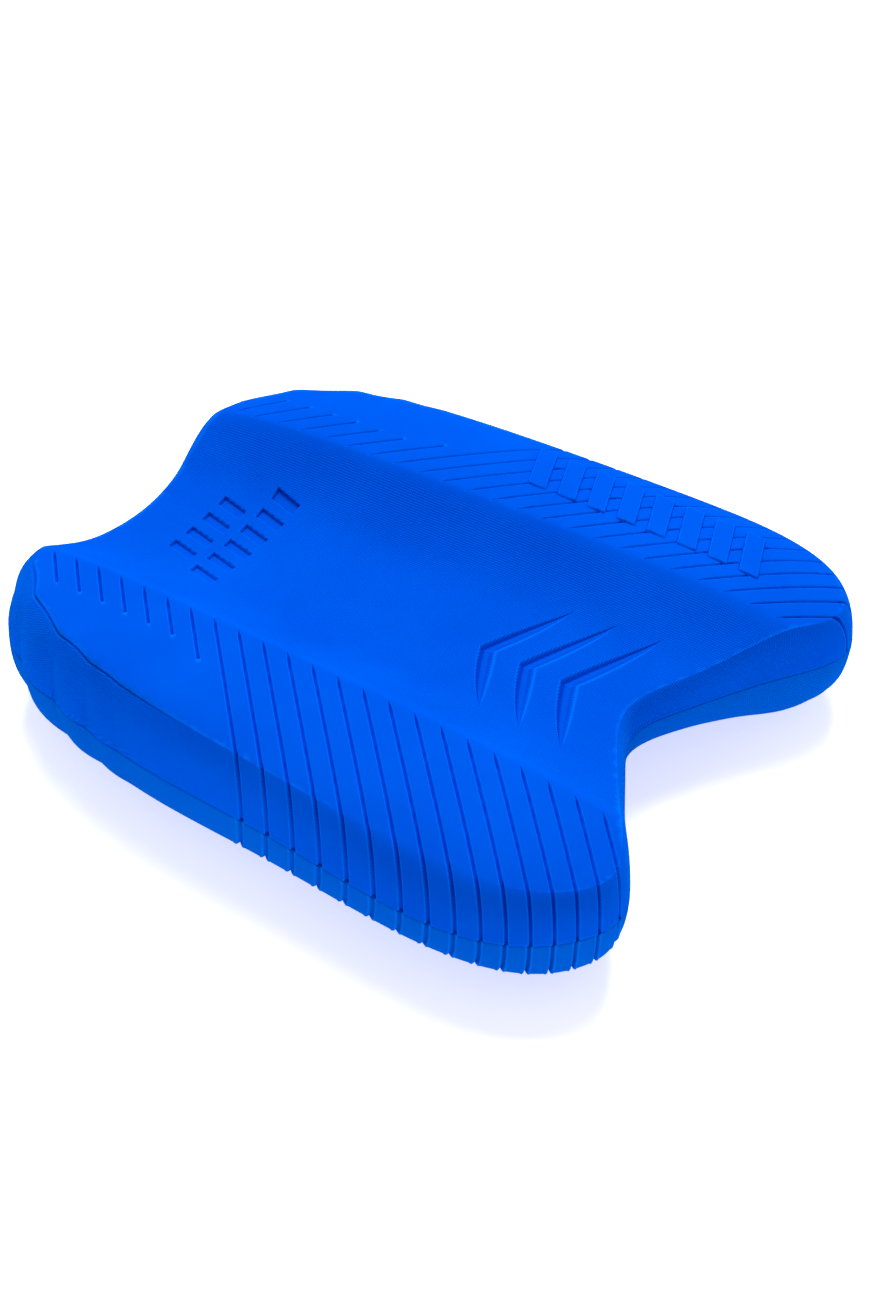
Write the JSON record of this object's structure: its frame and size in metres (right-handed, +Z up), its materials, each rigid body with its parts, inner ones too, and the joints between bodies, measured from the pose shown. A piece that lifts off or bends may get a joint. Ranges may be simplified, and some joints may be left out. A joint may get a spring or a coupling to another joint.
{
  "type": "pull buoy",
  "caption": "Foam swim pull buoy with thigh saddles above and below, grooved side lobes, a notched front and finger grips at the rear corners.",
  "frame": {"origin": "centre of the footprint, on the surface that the float lies on", "axes": "+Z up through the thickness, +Y along the length towards the rear edge (the front notch faces -Y), +X across the width"},
  "size_m": [0.2437, 0.2786, 0.061],
  "materials": {
    "eva_foam_upper": "matte moulded EVA foam skin, royal blue",
    "eva_foam_lower": "matte moulded EVA foam skin, royal blue",
    "adhesive": "cured contact adhesive, dark blue"
  },
  "bodies": {
    "root": {"upper_foam_half": "eva_foam_upper", "lower_foam_half": "eva_foam_lower", "bond_film": "adhesive"}
  },
  "joints": []
}
